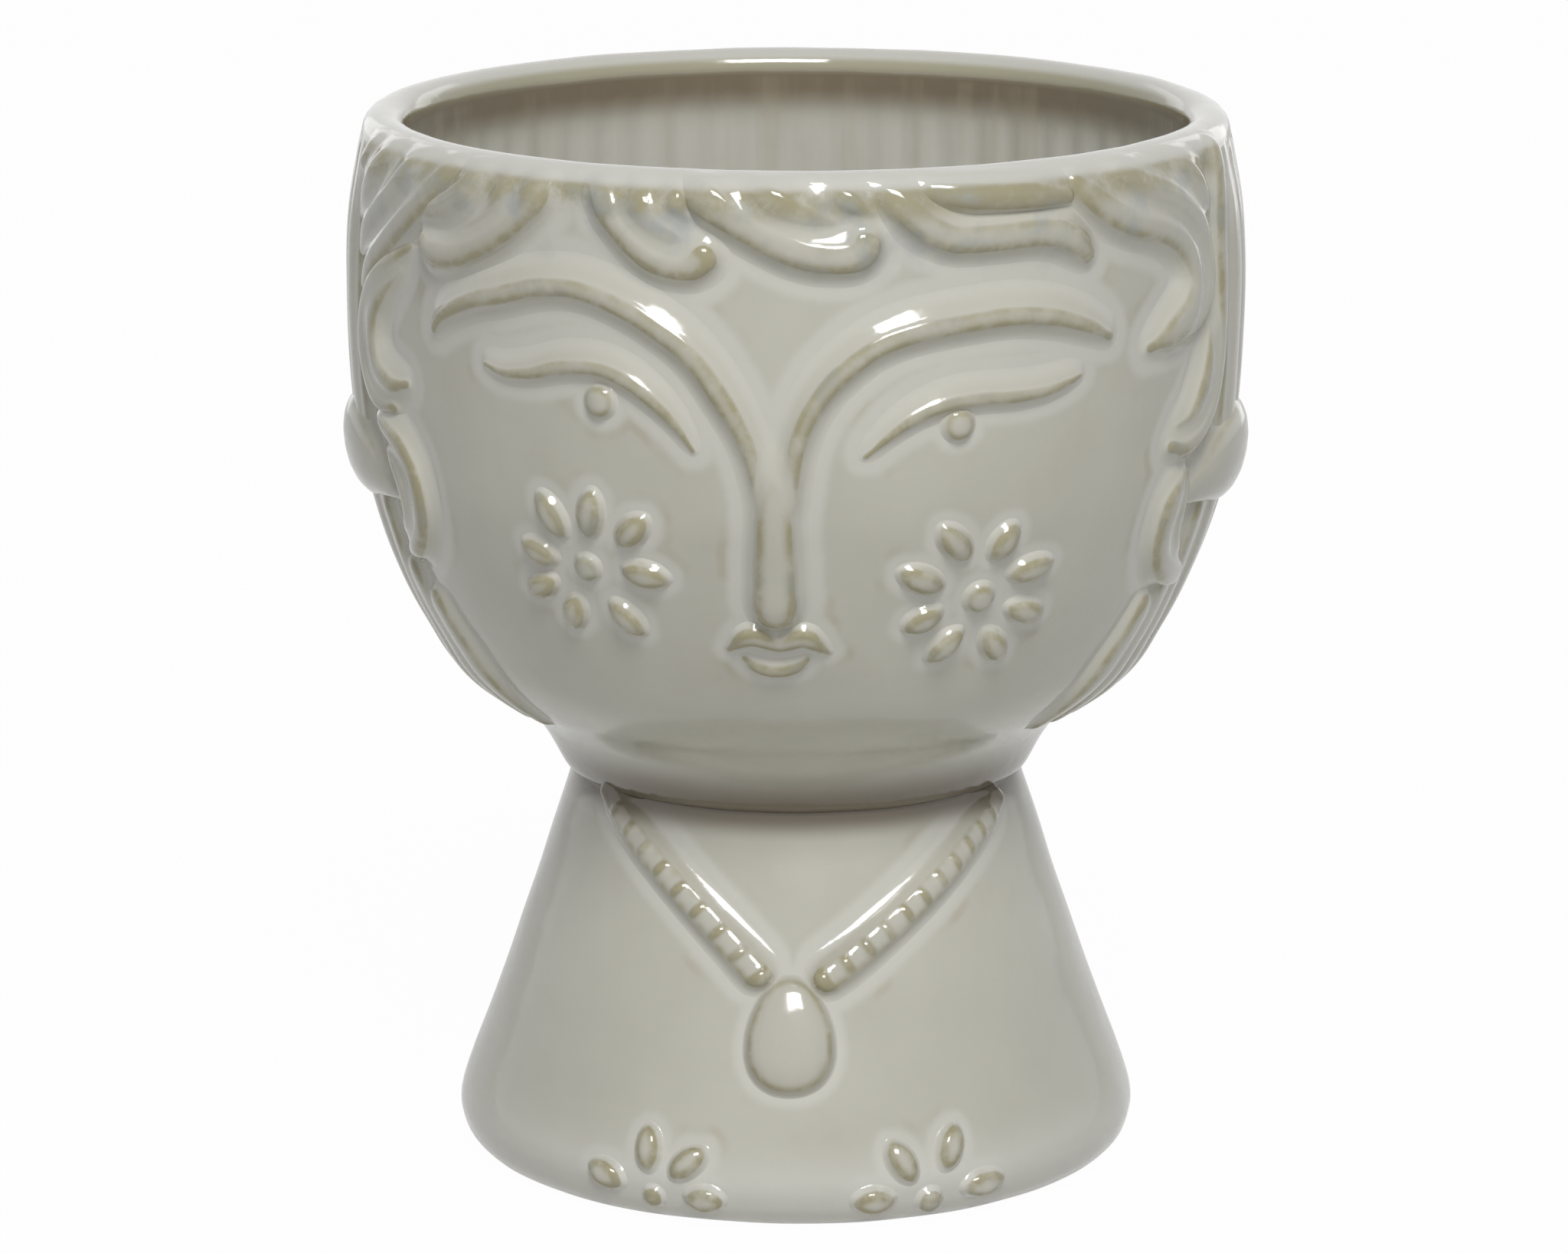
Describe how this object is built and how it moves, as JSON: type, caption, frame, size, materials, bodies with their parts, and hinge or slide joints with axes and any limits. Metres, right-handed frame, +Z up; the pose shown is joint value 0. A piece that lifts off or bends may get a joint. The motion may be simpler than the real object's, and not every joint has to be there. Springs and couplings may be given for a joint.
{
  "type": "face vase",
  "caption": "Glazed stoneware bowl vase on a flared pedestal, dressed as a stylised face with combed hair, cheek flowers and a rope necklace.",
  "frame": {"origin": "centre of the foot's underside, on the surface the vase stands on", "axes": "+Z up along the vase's axis, the face looks towards -Y, +X is the viewer's right"},
  "size_m": [0.1624, 0.1609, 0.19],
  "materials": {
    "body_glaze": "glossy clear glaze over pale stoneware",
    "face_glaze": "glossy clear glaze over pale stoneware",
    "hair_glaze": "glossy clear glaze over pale stoneware",
    "flower_glaze": "glossy clear glaze over pale stoneware",
    "jewel_glaze": "glossy clear glaze over pale stoneware"
  },
  "bodies": {
    "root": {"centre_forelock": "hair_glaze", "centre_left_forelock": "hair_glaze", "hair_tress_1": "hair_glaze", "hair_tress_2": "hair_glaze", "hair_tress_3": "hair_glaze", "hair_tress_4": "hair_glaze", "hair_tress_5": "hair_glaze", "head_bowl": "body_glaze", "left_brow": "face_glaze", "left_cheek_flower_centre": "flower_glaze", "left_cheek_petal_1": "flower_glaze", "left_cheek_petal_2": "flower_glaze", "left_cheek_petal_3": "flower_glaze", "left_cheek_petal_4": "flower_glaze", "left_cheek_petal_5": "flower_glaze", "left_cheek_petal_6": "flower_glaze", "left_cheek_petal_7": "flower_glaze", "left_cheek_petal_8": "flower_glaze", "left_ear": "face_glaze", "left_eyelid": "face_glaze", "left_foot_flower_centre": "flower_glaze", "left_foot_petal_1": "flower_glaze", "left_foot_petal_2": "flower_glaze", "left_foot_petal_3": "flower_glaze", "left_foot_petal_4": "flower_glaze", "left_forelock": "hair_glaze", "left_jaw_curl": "hair_glaze", "left_necklace": "jewel_glaze", "left_pupil": "face_glaze", "left_temple_curl": "hair_glaze", "left_temple_hair": "hair_glaze", "lower_lip": "face_glaze", "neck_stand": "body_glaze", "nose": "face_glaze", "pendant": "jewel_glaze", "right_brow": "face_glaze", "right_cheek_flower_centre": "flower_glaze", "right_cheek_petal_1": "flower_glaze", "right_cheek_petal_2": "flower_glaze", "right_cheek_petal_3": "flower_glaze", "right_cheek_petal_4": "flower_glaze", "right_cheek_petal_5": "flower_glaze", "right_cheek_petal_6": "flower_glaze", "right_cheek_petal_7": "flower_glaze", "right_cheek_petal_8": "flower_glaze", "right_ear": "face_glaze", "right_eyelid": "face_glaze", "right_foot_flower_centre": "flower_glaze", "right_foot_petal_1": "flower_glaze", "right_foot_petal_2": "flower_glaze", "right_foot_petal_3": "flower_glaze", "right_foot_petal_4": "flower_glaze", "right_forelock": "hair_glaze", "right_fringe_strand": "hair_glaze", "right_jaw_lock": "hair_glaze", "right_necklace": "jewel_glaze", "right_pupil": "face_glaze", "right_side_lock": "hair_glaze", "right_temple_lock": "hair_glaze", "upper_lip": "face_glaze"}
  },
  "joints": []
}
